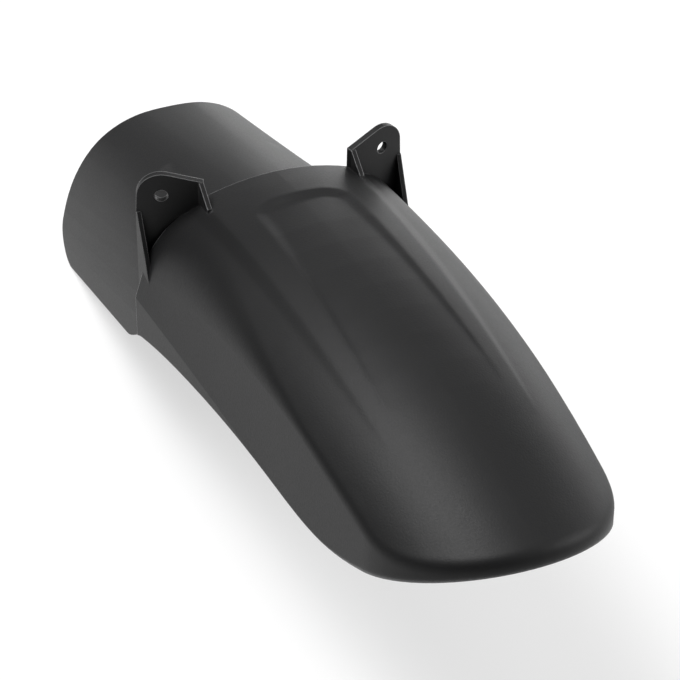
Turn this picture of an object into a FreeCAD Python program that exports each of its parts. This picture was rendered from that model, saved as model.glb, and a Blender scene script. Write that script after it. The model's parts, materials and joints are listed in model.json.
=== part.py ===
import FreeCAD, Part
import os
from math import asin, atan2, cos, hypot, pi, radians, sin, sqrt, tan

V = FreeCAD.Vector

# Driving dimensions, in millimetres and degrees.
# X runs to the tail, Y across and Z up. While it is drawn, X is zero at the
# step between the two sections and Z is zero at the crown of that step.
wall = 3.0
main_length = 306.5
front_length = 172.0
front_lean = 10.0

# Crown line of the main section, one long arc from the step to the tail
spine_radius = 700.0
spine_apex = 150.0

# Main section: crown, leaning side walls, rounded fold and round tail
crown_radius_step = 119.0
crown_radius_tail = 74.0
side_half_width = 79.0
side_lean = 16.2
side_level_step = 60.5
side_level_tail = 47.0
tail_radius = 57.8
tail_lean = 2.3
fold_radius_step = 45.0
fold_radius_tail = 6.5
fold_change_x = 190.0

# Front section: an arch that starts below the step and falls to the front end
arch_drop_step = 10.5
arch_drop_front = 61.5
arch_height_step = 97.0
arch_height_front = 112.0
arch_spread_step = 1.0
arch_half_width_front = 69.0
arch_power_step = 2.05
arch_power_front = 2.6
arch_strips = 12
band_cut = 0.5

# Lower edge in side view, as levels below the crown of the step
front_edge_level = 92.2
front_edge_slope = 0.385
front_corner_radius = 18.0
notch_start = 24.0
notch_end = 8.0
notch_level = 82.0
notch_slope = 0.28
edge_level_quarter = 66.0
edge_level_half = 57.5
edge_level_haunch = 53.0
edge_level_bend = 34.5
edge_level_tail = 8.0

# Raised ridges and the sunk panel between them
ridge_height = 2.4
ridge_length = 235.0
ridge_crest_half = 41.5
ridge_crest_taper = 0.022
ridge_flank = 10.0
panel_start = 36.0
panel_length = 176.0
panel_floor = 0.3
panel_half_width_front = 20.3
panel_half_width_rear = 29.0
panel_flank = 7.0
panel_corner_radius = 7.0

# Bolt ears at both ends of the step
ear_yaw = 18.0
ear_thickness = 3.5
ear_root_x = 4.0
ear_root_inset = 38.0
ear_width = 35.2
ear_inner_height = 5.0
ear_base_level = -80.0
ear_hole_along = 21.9
ear_hole_level = -2.0
ear_hole_radius = 3.4
ear_round_radius = 12.8
gusset_thickness = 2.5
gusset_top = -11.0
gusset_foot_x = 12.0
gusset_foot_level = -50.0
rib_reach = 12.0
rib_foot_level = -3.5

# Reach of the drawing solids beyond the part
far_up = 60.0
far_down = 200.0
far_on = 20.0
overlap = 1.0
crown_margin = 12.0
tail_margin = 3.0

# Places that follow from these
arch_half_width_step = side_half_width + arch_spread_step
band_half_width_front = arch_half_width_front - band_cut
tail_centre = main_length - tail_radius
ear_root_y = side_half_width - ear_root_inset


def chain(points):
    # Straight lines from point to point
    return [Part.makeLine(points[i], points[i + 1]) for i in range(len(points) - 1)]


def arc(start, middle, end):
    return Part.Arc(start, middle, end).toShape()


def curve(points, **ends):
    # Smooth curve through the points, with the same spacing of its parameter every time
    steps = [i / (len(points) - 1) for i in range(len(points))]
    line = Part.BSplineCurve()
    line.interpolate(Points=points, Parameters=steps, **ends)
    return line


def between(start, end, share):
    return start + (end - start) * share


def ridge_lift(x):
    # Height of the ridges above the crown, fading out towards the tail
    return ridge_height * (1 - x / ridge_length)


def spine_z(x):
    # Height of the crown line, which the ridges reach and the crown stays below
    centre_z = -sqrt(spine_radius ** 2 - spine_apex ** 2)
    arc_z = centre_z + sqrt(spine_radius ** 2 - (x - spine_apex) ** 2)
    return arc_z - max(0.0, ridge_lift(x))


def on_crown(x, y, lift):
    # Point of the main section's crown, raised along its radius
    radius = between(crown_radius_step, crown_radius_tail, x / main_length)
    return V(x, y, spine_z(x) - radius + sqrt((radius + lift) ** 2 - y ** 2))


def crown_arc(x, y_from, y_to, lift):
    middle = on_crown(x, (y_from + y_to) / 2, lift)
    return arc(on_crown(x, y_from, lift), middle, on_crown(x, y_to, lift))


def plan_outline(z, lean, radius, inset):
    # Half outline at one level: a side that leans less and less and runs into the round tail
    start_y = side_half_width - inset
    turn = asin(radius / hypot(tail_centre, start_y)) - atan2(start_y, tail_centre)
    touch = V(tail_centre - radius * sin(turn), radius * cos(turn), z)
    points = []
    for part in range(5):
        share = 1 - part / 4
        above_band = z + between(side_level_tail, side_level_step, share)
        y = between(touch.y, start_y, share) - above_band * tan(radians(lean * share ** 1.5))
        points.append(V(touch.x * (1 - share), y, z))
    bend = (pi / 2 + turn) / 2
    middle = V(tail_centre + radius * cos(bend), radius * sin(bend), z)
    tip = V(tail_centre + radius, 0, z)
    return points[0], curve(points).toShape(), arc(touch, middle, tip), tip


def crown_block(inset):
    # Everything under the crown of the main section
    wires = []
    for part in range(12):
        x = (main_length + far_on) * part / 11
        rim_y = between(side_half_width + crown_margin, tail_radius + tail_margin, part / 11) - inset
        rim = on_crown(x, rim_y, -inset)
        legs = chain([rim, V(x, rim_y, -far_down), V(x, 0, -far_down), on_crown(x, 0, -inset)])
        wires.append(Part.Wire([crown_arc(x, 0, rim_y, -inset)] + legs))
    return Part.makeLoft(wires, True, False)


def wall_block(inset):
    # Everything within the leaning side walls and the round tail
    wires = []
    for z in (far_up, -far_down):
        radius = tail_radius - inset - z * tan(radians(tail_lean))
        first, side, tail, tip = plan_outline(z, side_lean, radius, inset)
        wires.append(Part.Wire(chain([tip, V(0, 0, z), first]) + [side, tail]))
    return Part.makeLoft(wires, True, True)


def fold_edges(block):
    # Edges where the crown meets the walls
    found = []
    for edge in block.Edges:
        box = edge.BoundBox
        if box.YMin > -1 and box.YMax > 1 and box.XLength > 1 and box.ZMin > -far_up:
            found.append(edge)
    return found


def main_block(inset):
    # The fold is tight round the tail and opens out along the sides to the step
    block = crown_block(inset).common(wall_block(inset))
    rear_corner = V(fold_change_x, -overlap, -far_down - overlap)
    rear = Part.makeBox(main_length, main_length, 2 * far_down, rear_corner)
    tight = fold_radius_tail - inset
    tail = block.common(rear)
    tail = tail.makeFillet(tight, fold_edges(tail)[:1])
    sides = block.cut(rear)
    sides = sides.makeFillet(tight, fold_radius_step - inset, fold_edges(sides)[:1])
    return tail.fuse(sides)


def arch_wire(x, inset):
    # Half section of the front arch, a rounded power curve in strips, on a vertical leg
    share = -x / front_length
    half_width = between(arch_half_width_step, arch_half_width_front, share) - inset
    height = between(arch_height_step, arch_height_front, share) - inset
    power = between(arch_power_step, arch_power_front, share)
    top = -between(arch_drop_step, arch_drop_front, share) - inset
    points = []
    for part in range(9):
        angle = pi / 2 * part / 8
        reach = ((sin(angle) / half_width) ** power + (cos(angle) / height) ** power) ** (-1 / power)
        points.append(V(x, reach * sin(angle), top - height + reach * cos(angle)))
    line = curve(points,
                 InitialTangent=V(0, height * pi / 2, 0),
                 FinalTangent=V(0, 0, -half_width * pi / 2))
    strips = [line.toShape(i / arch_strips, (i + 1) / arch_strips) for i in range(arch_strips)]
    leg = [points[-1], V(x, half_width, -far_down), V(x, 0, -far_down), points[0]]
    return Part.Wire(strips + chain(leg))


def arch_block(inset, x_end):
    return Part.makeLoft([arch_wire(-front_length - far_on, inset), arch_wire(x_end, inset)], True, True)


def band_prism(inset):
    # Upright sides that leave a flat band along the lower edge
    first, side, tail, tip = plan_outline(far_up, 0, tail_radius + tail_margin - inset, inset)
    slope = (side_half_width - band_half_width_front) / front_length
    nose_x = -front_length - 2 * far_on
    nose = V(nose_x, first.y + slope * nose_x, far_up)
    edges = chain([tip, V(nose_x, 0, far_up), nose, first]) + [side, tail]
    return Part.Face(Part.Wire(edges)).extrude(V(0, 0, -far_up - far_down))


def side_profile():
    # Side view of what stays: leaning front end, lower edge with its notch, and tail
    lean = tan(radians(front_lean))
    corner_x = (arch_drop_front - front_edge_level) * lean - front_length
    corner_x = corner_x / (1 - front_edge_slope * lean)
    corner = V(corner_x, 0, front_edge_slope * corner_x - front_edge_level)
    front_top = V((far_up + arch_drop_front) * lean - front_length, 0, far_up)
    notch_a = V(-notch_start, 0, -front_edge_level - front_edge_slope * notch_start)
    notch_b = V(notch_end, 0, -notch_level)
    notch = curve([notch_a, (notch_a + notch_b) / 2, notch_b],
                  InitialTangent=V(1, 0, front_edge_slope) * (notch_start + notch_end),
                  FinalTangent=V(1, 0, notch_slope) * (notch_start + notch_end)).toShape()
    low = [notch_b,
           V(main_length * 0.25, 0, -edge_level_quarter),
           V(main_length * 0.5, 0, -edge_level_half),
           V(main_length * 0.7, 0, -edge_level_haunch),
           V(main_length * 0.85, 0, -edge_level_bend),
           V(main_length + overlap, 0, -edge_level_tail)]
    lower = Part.BSplineCurve()
    lower.interpolate(low)
    far_x = main_length + far_on
    rest = chain([low[-1], V(far_x, 0, -edge_level_tail), V(far_x, 0, far_up), front_top, corner, notch_a])
    solid = Part.Face(Part.Wire(rest + [notch, lower.toShape()])).extrude(V(0, 2 * side_half_width, 0))
    corner_line = Part.makeLine(corner, corner + V(0, 2 * side_half_width, 0))
    corner_edges = [edge for edge in solid.Edges if edge.CenterOfMass.isEqual(corner_line.CenterOfMass, 0.01)]
    return solid.makeFillet(front_corner_radius, corner_edges)


def ridge_pad():
    # Raised skin over the crown, ending in a soft flank on the outer side
    wires = []
    for part in range(6):
        x = (ridge_length + far_on) * part / 5
        crest = ridge_crest_half - ridge_crest_taper * x
        foot = crest + ridge_flank
        lift = ridge_lift(x)
        flank = chain([on_crown(x, crest, lift), on_crown(x, foot, -wall / 4), on_crown(x, foot, -wall / 2)])
        rise = chain([on_crown(x, 0, -wall / 2), on_crown(x, 0, lift)])
        bottom = crown_arc(x, foot, 0, -wall / 2)
        wires.append(Part.Wire([crown_arc(x, 0, crest, lift)] + flank + [bottom] + rise))
    return Part.makeLoft(wires, True, False)


def panel_wire(x, half_width, rim, floor):
    # Section of the panel's cutter: floor, sloped flank, and a rim that stands clear of the ridge
    brim = 2 * ridge_height
    flank = chain([on_crown(x, half_width, floor), on_crown(x, rim, ridge_height), on_crown(x, rim, brim)])
    rise = chain([on_crown(x, 0, brim), on_crown(x, 0, floor)])
    return Part.Wire([crown_arc(x, 0, half_width, floor)] + flank + [crown_arc(x, rim, 0, brim)] + rise)


def panel_pocket():
    # Cutter for the sunk panel, with the same sloped flank round its front corners and along its sides
    narrow = panel_half_width_front - panel_corner_radius
    corner_x = panel_start + panel_corner_radius
    reach = panel_corner_radius + panel_flank
    wires = []
    for part in range(1, 7):
        turn = pi / 2 * part / 6
        ahead = reach * cos(turn)
        half_width = narrow + sqrt(max(0.0, panel_corner_radius ** 2 - ahead ** 2))
        floor = between(ridge_height, panel_floor, min(1.0, (reach - ahead) / panel_flank))
        wires.append(panel_wire(corner_x - ahead, half_width, narrow + reach * sin(turn), floor))
    for part in range(1, 9):
        x = between(corner_x, panel_start + panel_length, part / 8)
        half_width = between(panel_half_width_front, panel_half_width_rear, part / 8)
        wires.append(panel_wire(x, half_width, half_width + panel_flank, panel_floor))
    return Part.makeLoft(wires, True, True)


yaw = radians(ear_yaw)
ear_along = V(-sin(yaw), cos(yaw), 0)
ear_back = V(cos(yaw), sin(yaw), 0)


def ear_point(along, z):
    return V(ear_root_x, ear_root_y, z) + ear_along * along


def upright_rib(front_x, top_x, top_z, foot_x, foot_z, y, thickness):
    # Rib along X behind the plate, with a sloping rear edge from its top to its foot
    corners = [V(front_x, y, top_z), V(top_x, y, top_z), V(foot_x, y, foot_z)]
    corners += [V(foot_x, y, -far_up), V(front_x, y, -far_up)]
    return Part.Face(Part.Wire(chain(corners + corners[:1]))).extrude(V(0, thickness, 0))


def bolt_ear():
    # Upright plate with a round top, a bolt hole, an outer gusset and a short inner rib
    hole = ear_point(ear_hole_along, ear_hole_level)
    fall = ear_hole_level - ear_inner_height
    slope = asin(ear_round_radius / hypot(ear_hole_along, fall)) + atan2(fall, ear_hole_along)
    touch = hole - ear_along * ear_round_radius * sin(slope) + V(0, 0, ear_round_radius * cos(slope))
    bend = pi / 4 - slope / 2
    top = hole + ear_along * ear_round_radius * sin(bend) + V(0, 0, ear_round_radius * cos(bend))
    outer = hole + ear_along * ear_round_radius
    kink = ear_point(ear_width, gusset_top)
    edges = chain([ear_point(0, ear_base_level), ear_point(0, ear_inner_height), touch])
    edges.append(arc(touch, top, outer))
    edges += chain([outer, kink, ear_point(ear_width, ear_base_level), ear_point(0, ear_base_level)])
    plate = Part.Face(Part.Wire(edges)).extrude(ear_back * -ear_thickness)
    gusset = upright_rib(kink.x, kink.x + overlap, gusset_top,
                         gusset_foot_x, gusset_foot_level, kink.y, -gusset_thickness)
    rib = upright_rib(ear_root_x - overlap, ear_root_x, ear_inner_height,
                      ear_root_x + rib_reach, rib_foot_level, ear_root_y, gusset_thickness)
    bore_start = hole - ear_back * 2 * ear_thickness
    bore = Part.makeCylinder(ear_hole_radius, 4 * ear_thickness, bore_start, ear_back)
    return plate.fuse([gusset, rib]).cut(bore)


# One half of the moulding, then its mirror image
skin = main_block(0.0).fuse(arch_block(0.0, wall)).common(band_prism(0.0))
skin = skin.fuse([ridge_pad().cut(panel_pocket()), bolt_ear()])
step_wall = Part.makeBox(far_on, main_length, 2 * far_down, V(wall - far_on, -overlap, -far_down - overlap))
hollow = main_block(wall).cut(step_wall).fuse(arch_block(wall, wall + overlap)).common(band_prism(wall))
half = skin.cut(hollow).common(side_profile())
body = half.fuse(half.mirror(V(0, 0, 0), V(0, 1, 0))).removeSplitter()

# Origin under the middle of the part, at its lowest point
box = body.optimalBoundingBox(False, False)
body.translate(V(-box.Center.x, 0, -box.ZMin))

os.makedirs("parts", exist_ok=True)
body.exportStep("parts/rear_fender.step")
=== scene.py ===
import json
from math import cos, radians, sin

import bpy
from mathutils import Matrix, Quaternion, Vector


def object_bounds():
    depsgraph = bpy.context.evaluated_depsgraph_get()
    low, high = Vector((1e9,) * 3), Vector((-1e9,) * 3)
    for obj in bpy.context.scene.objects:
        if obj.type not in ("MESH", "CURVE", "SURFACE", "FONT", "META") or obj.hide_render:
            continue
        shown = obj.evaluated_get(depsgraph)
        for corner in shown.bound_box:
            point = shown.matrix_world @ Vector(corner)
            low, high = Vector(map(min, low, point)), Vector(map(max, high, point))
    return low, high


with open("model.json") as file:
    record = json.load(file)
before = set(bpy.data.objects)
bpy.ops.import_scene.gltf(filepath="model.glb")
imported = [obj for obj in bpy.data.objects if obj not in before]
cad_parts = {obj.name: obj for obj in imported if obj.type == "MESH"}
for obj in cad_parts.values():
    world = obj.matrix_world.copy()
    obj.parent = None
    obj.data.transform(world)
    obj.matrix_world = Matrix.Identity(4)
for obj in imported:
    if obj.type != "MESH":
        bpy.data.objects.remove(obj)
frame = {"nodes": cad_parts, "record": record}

cad_low, cad_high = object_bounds()
bolt_hole_x = frame["record"]["mounts"][0]["pos_m"][0]

# Camera of the photograph: place in metres, angles in degrees, focal length in pixels
camera_place = Vector((0.8239, -0.3495, 0.7945))
view_azimuth = 66.307
view_elevation = 38.278
view_roll = 1.313
image_width_px = 680
focal_length_px = 2200
sensor_mm = 36.0
clip_start = 0.05

# Tone and gloss of the black plastic
plastic_dark = (0.007, 0.007, 0.0073, 1.0)
plastic_light = (0.012, 0.012, 0.0124, 1.0)
# Lighter grey for outer edges: partly rubbed wear, partly a painted highlight on the rounded edges
plastic_rubbed_and_highlight = (0.200, 0.200, 0.203, 1.0)
plastic_ior = 1.5
plastic_specular = 0.20
plastic_roughness_low = 0.455
plastic_roughness_high = 0.505

# Clouds of tone and moulded grain, sizes in metres
cloud_size = 0.06
cloud_detail = 3
grain_size = 0.0010
grain_detail = 2
grain_height = 0.00005
grain_strength = 1.0
texture_low = 0.3
texture_high = 0.7

# Rounded shading, in metres: narrow at edges, wide on the crowns before and behind the step
edge_radius = 0.0010
crown_radius = 0.0045
rounding_samples = 8
crown_blend = 0.006
side_margin = 0.021
front_margin = 0.0139
main_behind_holes = 0.0183
front_before_holes = 0.0197
crown_half_width = cad_high.y - side_margin
main_start_x = bolt_hole_x + main_behind_holes
front_start_x = cad_low.x + front_margin
front_end_x = bolt_hole_x - front_before_holes

# Wear and a painted highlight along outer edges: how far normals part, and how open the surface is, within a
# distance in metres
edge_match_start = 0.99
edge_match_end = 0.80
shelter_distance = 0.004
shelter_samples = 4
shelter_low = 0.70
shelter_high = 0.92

# Floor, in metres and shares of white
floor_size = 12.0
floor_white = (0.9, 0.9, 0.9, 1.0)
floor_roughness = 0.9
floor_glow = 0.6
glow_strength = 1.0

# World light: its strength rises with the Y part of its direction
world_white = (1.0, 1.0, 1.0, 1.0)
world_rise_start = -0.5
world_rise_end = 0.6
world_dim = 0.04
world_bright = 0.55

# Softboxes: directions from the point that they face, sizes and distances in metres
light_aim = Vector((0.0, 0.0, 0.1))
light_distance = 1.5
overhead_direction = Vector((-0.24, -0.33, 0.91))
overhead_size = (0.9, 0.8)
overhead_watts = 28.0
main_direction = Vector((0.35, 0.85, 0.48))
main_size = (1.0, 1.0)
main_watts = 11.0
side_direction = Vector((-0.72, 0.69, 0.03))
side_size = (1.4, 0.24)
side_watts = 5.5


def link(tree, source, node, name):
    # Leads an output socket into one of a node's inputs
    tree.links.new(source, node.inputs[name])


def combine(tree, operation, first, second):
    both = tree.nodes.new("ShaderNodeMath")
    both.operation = operation
    link(tree, first, both, 0)
    link(tree, second, both, 1)
    return both.outputs["Value"]


def spread(tree, source, start, end, low, high, kind="LINEAR"):
    # Takes a value that runs from start to end into the range from low to high
    part = tree.nodes.new("ShaderNodeMapRange")
    part.interpolation_type = kind
    part.inputs["From Min"].default_value = start
    part.inputs["From Max"].default_value = end
    part.inputs["To Min"].default_value = low
    part.inputs["To Max"].default_value = high
    link(tree, source, part, "Value")
    return part.outputs["Result"]


def fade(tree, source, start, end):
    # Zero at the start value and one at the end value, with a smooth change between them
    return spread(tree, source, start, end, 0, 1, "SMOOTHSTEP")


def coordinates(tree, kind):
    return tree.nodes.new("ShaderNodeTexCoord").outputs[kind]


def axes(tree, vector):
    # The X, Y and Z parts of a vector
    parts = tree.nodes.new("ShaderNodeSeparateXYZ")
    link(tree, vector, parts, "Vector")
    return parts.outputs


def noise(tree, size, detail):
    # Cloud texture with features of one size, in metres
    texture = tree.nodes.new("ShaderNodeTexNoise")
    texture.inputs["Scale"].default_value = 1 / size
    texture.inputs["Detail"].default_value = detail
    link(tree, coordinates(tree, "Object"), texture, "Vector")
    return texture.outputs["Fac"]


def rounding_radius(tree):
    # Small at edges, wide over the smooth crowns before and behind the step
    place = axes(tree, coordinates(tree, "Object"))
    across = tree.nodes.new("ShaderNodeMath")
    across.operation = "ABSOLUTE"
    link(tree, place["Y"], across, 0)
    within_sides = fade(tree, across.outputs["Value"], crown_half_width + crown_blend, crown_half_width)
    main = fade(tree, place["X"], main_start_x, main_start_x + crown_blend)
    front_start = fade(tree, place["X"], front_start_x, front_start_x + crown_blend)
    front_end = fade(tree, place["X"], front_end_x, front_end_x - crown_blend)
    front = combine(tree, "MULTIPLY", front_start, front_end)
    crowns = combine(tree, "MULTIPLY", within_sides, combine(tree, "MAXIMUM", main, front))
    return spread(tree, crowns, 0, 1, edge_radius, crown_radius)


def wear_and_highlight_edge_mask(tree, rounded_normal):
    # One along outer edges, where the rounded normal leaves the surface's own and nothing stands near; the
    # lighter colour put here is partly rubbed wear, partly a painted highlight
    surface = tree.nodes.new("ShaderNodeNewGeometry")
    match = tree.nodes.new("ShaderNodeVectorMath")
    match.operation = "DOT_PRODUCT"
    link(tree, surface.outputs["Normal"], match, 0)
    link(tree, rounded_normal, match, 1)
    edges = fade(tree, match.outputs["Value"], edge_match_start, edge_match_end)
    shelter = tree.nodes.new("ShaderNodeAmbientOcclusion")
    shelter.samples = shelter_samples
    shelter.only_local = True
    shelter.inputs["Distance"].default_value = shelter_distance
    open_side = fade(tree, shelter.outputs["AO"], shelter_low, shelter_high)
    return combine(tree, "MULTIPLY", edges, open_side)


def grained_plastic():
    # Black plastic with clouds of tone, moulded grain, rounded shading, and outer edges lightened by rubbed
    # wear and a painted highlight
    material = bpy.data.materials.new("grained_plastic")
    material.use_nodes = True
    tree = material.node_tree
    shader = tree.nodes["Principled BSDF"]
    shader.inputs["IOR"].default_value = plastic_ior
    shader.inputs["Specular IOR Level"].default_value = plastic_specular

    tone = tree.nodes.new("ShaderNodeMix")
    tone.data_type = "RGBA"
    tone.inputs["A"].default_value = plastic_dark
    tone.inputs["B"].default_value = plastic_light
    link(tree, noise(tree, cloud_size, cloud_detail), tone, "Factor")

    rounding = tree.nodes.new("ShaderNodeBevel")
    rounding.samples = rounding_samples
    link(tree, rounding_radius(tree), rounding, "Radius")

    # Outer edges lightened: rubbed wear and a painted highlight
    worn_and_highlighted = tree.nodes.new("ShaderNodeMix")
    worn_and_highlighted.data_type = "RGBA"
    worn_and_highlighted.inputs["B"].default_value = plastic_rubbed_and_highlight
    link(tree, wear_and_highlight_edge_mask(tree, rounding.outputs["Normal"]), worn_and_highlighted, "Factor")
    link(tree, tone.outputs["Result"], worn_and_highlighted, "A")
    link(tree, worn_and_highlighted.outputs["Result"], shader, "Base Color")

    grain = noise(tree, grain_size, grain_detail)
    roughness = spread(tree, grain, texture_low, texture_high, plastic_roughness_low, plastic_roughness_high)
    link(tree, roughness, shader, "Roughness")
    bump = tree.nodes.new("ShaderNodeBump")
    bump.inputs["Strength"].default_value = grain_strength
    bump.inputs["Distance"].default_value = grain_height
    link(tree, grain, bump, "Height")
    link(tree, rounding.outputs["Normal"], bump, "Normal")
    link(tree, bump.outputs["Normal"], shader, "Normal")
    return material


def seen_rays(tree):
    # One for rays that show the background: from the camera, in gloss and through glass
    path = tree.nodes.new("ShaderNodeLightPath").outputs
    mirrored = combine(tree, "MAXIMUM", path["Is Glossy Ray"], path["Is Transmission Ray"])
    return combine(tree, "MAXIMUM", path["Is Camera Ray"], mirrored)


def pale_floor():
    # White that keeps a soft shadow, with a share of glow for the rays that show the background
    material = bpy.data.materials.new("floor_white")
    material.use_nodes = True
    tree = material.node_tree
    shader = tree.nodes["Principled BSDF"]
    shader.inputs["Base Color"].default_value = floor_white
    shader.inputs["Roughness"].default_value = floor_roughness
    glow = tree.nodes.new("ShaderNodeEmission")
    glow.inputs["Strength"].default_value = glow_strength
    mix = tree.nodes.new("ShaderNodeMixShader")
    link(tree, spread(tree, seen_rays(tree), 0, 1, 0, floor_glow), mix, "Fac")
    link(tree, shader.outputs["BSDF"], mix, 1)
    link(tree, glow.outputs["Emission"], mix, 2)
    link(tree, mix.outputs["Shader"], tree.nodes["Material Output"], "Surface")
    return material


def dress(node, material):
    node.data.materials.clear()
    node.data.materials.append(material)


def add_floor():
    bpy.ops.mesh.primitive_plane_add(size=floor_size, location=(0, 0, cad_low.z))
    floor = bpy.context.object
    floor.name = "floor"
    dress(floor, pale_floor())


def add_world():
    # White light from all round, dim on the -Y side of the object and brighter on its +Y side
    world = bpy.data.worlds.new("studio")
    bpy.context.scene.world = world
    world.use_nodes = True
    tree = world.node_tree
    background = tree.nodes["Background"]
    background.inputs["Color"].default_value = world_white
    sideways = axes(tree, coordinates(tree, "Generated"))["Y"]
    strength = spread(tree, sideways, world_rise_start, world_rise_end, world_dim, world_bright, "SMOOTHSTEP")
    link(tree, strength, background, "Strength")


def add_softbox(name, direction, size, watts):
    # Soft light that faces the object from one direction
    lamp = bpy.data.lights.new(name, "AREA")
    lamp.shape = "RECTANGLE"
    lamp.size, lamp.size_y = size
    lamp.energy = watts
    box = bpy.data.objects.new(name, lamp)
    box.location = light_aim + direction.normalized() * light_distance
    box.rotation_mode = "QUATERNION"
    box.rotation_quaternion = (-direction).to_track_quat("-Z", "Y")
    bpy.context.scene.collection.objects.link(box)


def add_camera():
    azimuth = radians(view_azimuth)
    elevation = radians(view_elevation)
    level = cos(elevation)
    forward = Vector((-sin(azimuth) * level, cos(azimuth) * level, -sin(elevation)))
    data = bpy.data.cameras.new("camera")
    data.sensor_width = sensor_mm
    data.lens = focal_length_px / image_width_px * sensor_mm
    data.clip_start = clip_start
    camera = bpy.data.objects.new("camera", data)
    camera.location = camera_place
    camera.rotation_mode = "QUATERNION"
    roll = Quaternion((0, 0, 1), radians(view_roll))
    camera.rotation_quaternion = forward.to_track_quat("-Z", "Y") @ roll
    bpy.context.scene.collection.objects.link(camera)
    bpy.context.scene.camera = camera


dress(frame["nodes"]["rear_fender"], grained_plastic())
add_floor()
add_world()
add_softbox("overhead", overhead_direction, overhead_size, overhead_watts)
add_softbox("main", main_direction, main_size, main_watts)
add_softbox("side", side_direction, side_size, side_watts)
add_camera()

bpy.context.scene.view_settings.view_transform = "Standard"
